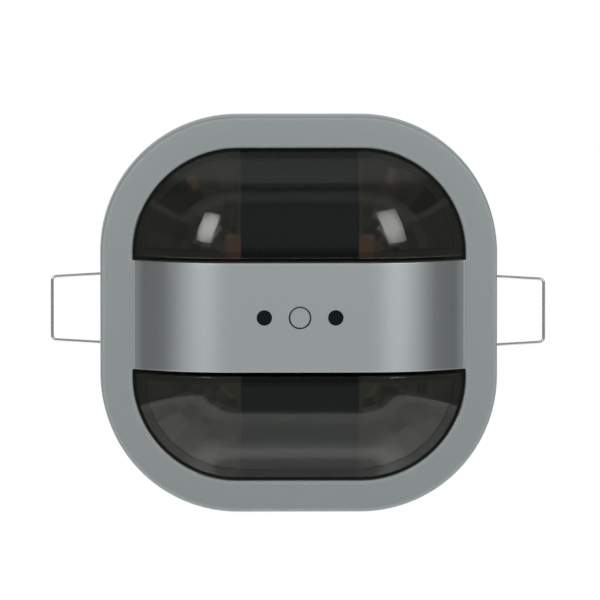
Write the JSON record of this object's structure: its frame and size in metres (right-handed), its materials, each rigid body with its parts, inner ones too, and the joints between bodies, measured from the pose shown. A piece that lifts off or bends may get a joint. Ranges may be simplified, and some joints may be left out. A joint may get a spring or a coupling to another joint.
{
  "type": "presence detector",
  "caption": "Recessed ceiling presence detector with a rounded square silver cover, arched bridge, two smoked dome windows, push button and folding wire clips.",
  "frame": {"origin": "centre of the detector in the plane of the ceiling, where the cover's rim and the housing's flange seat", "axes": "the face looks along -Y into the room and +Y points into the ceiling; +Z is the top of the face as pictured, the bridge and the two clips lie along X"},
  "size_m": [0.1288, 0.0606, 0.103],
  "materials": {
    "silver_paint": "satin silver grey paint with a fine metallic speckle, on moulded plastic",
    "smoked_window": "polished dark smoked plastic",
    "lens_film": "brownish translucent lens plastic",
    "black_plastic": "black moulded plastic",
    "grey_plastic": "light grey moulded plastic",
    "port_glass": "polished near black plastic",
    "circuit_board": "green solder resist on glass fibre",
    "component_black": "black component plastic",
    "led_epoxy": "red clear epoxy",
    "relay_case": "dark blue component plastic",
    "capacitor_can": "aluminium can",
    "terminal_plastic": "pale grey moulded plastic",
    "brass": "plain brass",
    "screw_steel": "zinc plated steel",
    "spring_wire": "drawn stainless spring wire",
    "sensor_can": "warm plated metal can",
    "rubber": "black rubber"
  },
  "bodies": {
    "housing": {"front_cover": "silver_paint", "window_upper": "smoked_window", "window_lower": "smoked_window", "segment_lens_upper_right": "lens_film", "segment_lens_upper_left": "lens_film", "segment_lens_lower_left": "lens_film", "segment_lens_lower_right": "lens_film", "sensor_carrier": "black_plastic", "sensor_board": "circuit_board", "port_guide_left": "port_glass", "port_guide_right": "port_glass", "light_sensor": "component_black", "infrared_receiver": "component_black", "status_led": "led_epoxy", "button_switch": "component_black", "rear_housing": "grey_plastic", "rear_cover": "grey_plastic", "cable_grommet": "rubber", "power_board": "circuit_board", "power_module": "component_black", "relay": "relay_case", "capacitor": "capacitor_can", "board_link_socket": "component_black", "board_link_header": "component_black", "terminal_block": "terminal_plastic", "terminal_clamps": "brass", "terminal_screws": "screw_steel", "cover_screws": "screw_steel", "rear_screws": "screw_steel", "clip_pin_left": "screw_steel", "clip_pin_right": "screw_steel", "pyro_sensor_upper_left": "sensor_can", "pyro_sensor_upper_right": "sensor_can", "pyro_sensor_lower_left": "sensor_can", "pyro_sensor_lower_right": "sensor_can"},
    "button": {"push_button": "silver_paint", "switch_plunger": "component_black"},
    "clip_left": {"spring_clip_left": "spring_wire"},
    "clip_right": {"spring_clip_right": "spring_wire"}
  },
  "joints": [
    {"name": "button_press", "type": "slide", "parent": "housing", "child": "button", "axis": [0, 1, 0], "range_m": [0, 0.0008], "stiffness_N_per_m": 1500},
    {"name": "clip_left_fold", "type": "hinge", "parent": "housing", "child": "clip_left", "pos_m": [-0.0312, 0.00432, 0.0006], "axis": [0, 0, -1], "range_deg": [0, 90], "stiffness_Nm_per_rad": 0.08},
    {"name": "clip_right_fold", "type": "hinge", "parent": "housing", "child": "clip_right", "pos_m": [0.0312, 0.00432, -0.0002], "axis": [0, 0, 1], "range_deg": [0, 90], "stiffness_Nm_per_rad": 0.08}
  ]
}
